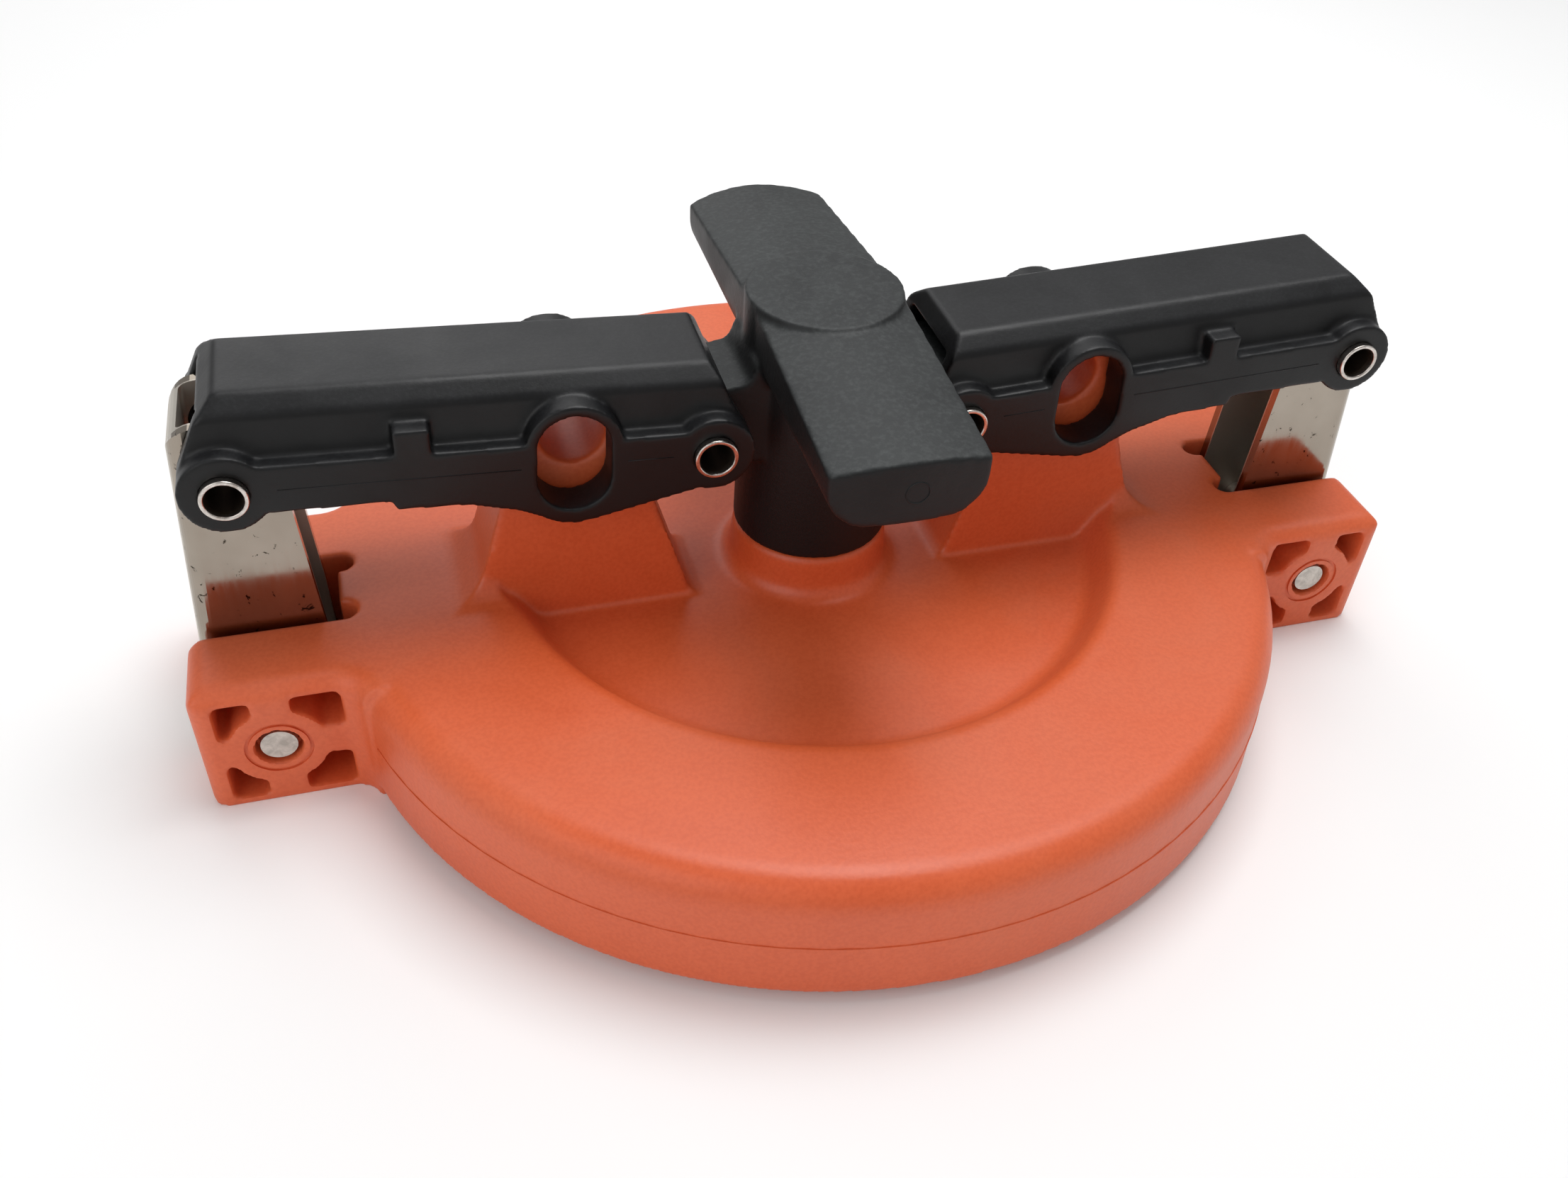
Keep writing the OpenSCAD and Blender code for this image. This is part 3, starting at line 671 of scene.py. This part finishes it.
def add_table():
    deselect()
    bpy.ops.mesh.primitive_plane_add(size=TABLE_SIZE, location=(0, 0, cad_box[0][2]))
    made = bpy.context.object
    made.name = "table"
    dress(made, table_material())


def add_lamp(name, where, aim, size, power):
    """A square soft lamp at where, pointed at aim."""
    deselect()
    bpy.ops.object.light_add(type="AREA", location=Vector(where) * MM)
    made = bpy.context.object
    made.name = name
    made.data.size = size * MM
    made.data.energy = power
    away = (Vector(where) - Vector(aim)) * MM
    made.rotation_euler = away.to_track_quat("Z", "Y").to_euler()


add_table()
for lamp in LAMPS:
    add_lamp(*lamp)
world = bpy.context.scene.world or bpy.data.worlds.new("World")
bpy.context.scene.world = world
world.use_nodes = True
sky = world.node_tree.nodes["Background"]
sky.inputs["Color"].default_value = grey(1)
sky.inputs["Strength"].default_value = SKY_STRENGTH
print("table and", len(LAMPS), "lamps in place")

# %% [markdown]
# The camera stands where the photographer's did: close, at about forty degrees, a
# little to the left, and tipped by a few degrees. Its place was found from the pivots
# and edges that show in the photograph.

# %% Camera
# Place and aim in millimetres, tip in degrees, lens and sensor in millimetres.
CAMERA_AT = (-55.27, -159.19, 150.70)
CAMERA_AIM = (-7.801, -14.198, 20.0)
CAMERA_TIP = 3.5365
LENS_MM = 32.556
SENSOR_MM = 36
NEAREST = 10


def add_camera():
    deselect()
    bpy.ops.object.camera_add(location=Vector(CAMERA_AT) * MM)
    made = bpy.context.object
    made.name = "camera"
    away = Vector(CAMERA_AIM) - Vector(CAMERA_AT)
    level = away.to_track_quat("-Z", "Y").to_matrix()
    tip = Matrix.Rotation(math.radians(CAMERA_TIP), 3, "Z")
    made.rotation_euler = (level @ tip).to_euler()
    made.data.lens = LENS_MM
    made.data.sensor_width = SENSOR_MM
    made.data.clip_start = NEAREST * MM
    bpy.context.scene.camera = made


add_camera()
bpy.context.scene.view_settings.view_transform = "Standard"
print("camera at", CAMERA_AT)

# %% [markdown]
# The dressed model has to stay as big as the drawing, so the drawing's box is printed.

# %% Sizes, and the end
print("box of the drawing", cad_box)
